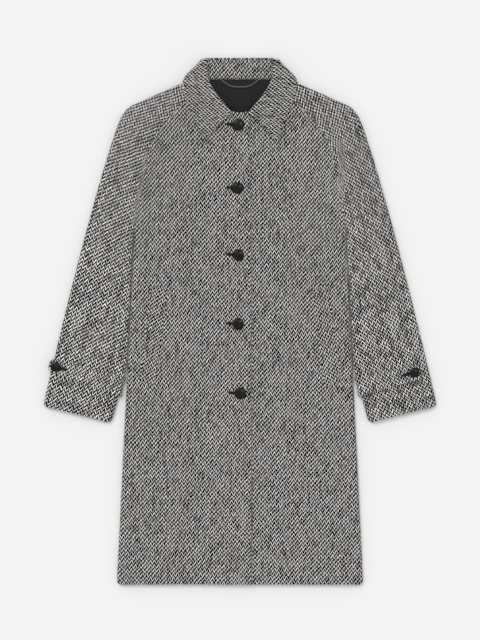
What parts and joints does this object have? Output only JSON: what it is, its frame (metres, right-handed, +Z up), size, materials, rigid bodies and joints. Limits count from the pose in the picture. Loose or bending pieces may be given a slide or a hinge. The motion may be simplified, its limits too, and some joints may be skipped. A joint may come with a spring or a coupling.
{
  "type": "tweed coat laid flat",
  "caption": "Knee-length raglan tweed coat, buttoned and laid flat on its back, with a turned-down collar, sleeve tabs, slanted welt pockets and a dark lining at the neck.",
  "frame": {"origin": "middle of the laid-out coat's outline, on the surface it lies on", "axes": "+Y from the hem to the collar, +X to the wearer's left sleeve, +Z up off the surface"},
  "size_m": [0.825, 1.1068, 0.0263],
  "materials": {
    "tweed": "black and white zigzag wool tweed, matt, slightly hairy",
    "lining": "black lining, faint satin sheen",
    "button": "black, soft gloss",
    "hanger": "grey twisted cord"
  },
  "bodies": {
    "root": {"back": "tweed", "front_right": "tweed", "front_left": "tweed", "sleeve_front_right": "tweed", "sleeve_back_right": "tweed", "sleeve_front_left": "tweed", "sleeve_back_left": "tweed", "collar_fall": "tweed", "collar_stand": "tweed", "sleeve_tab_right": "tweed", "sleeve_tab_left": "tweed", "pocket_welt_right": "tweed", "pocket_welt_left": "tweed", "back_lining": "lining", "neck_label": "lining", "hanger_loop": "hanger", "front_button_1": "button", "front_button_2": "button", "front_button_3": "button", "front_button_4": "button", "front_button_5": "button", "tab_button_right": "button", "tab_button_left": "button"}
  },
  "joints": []
}
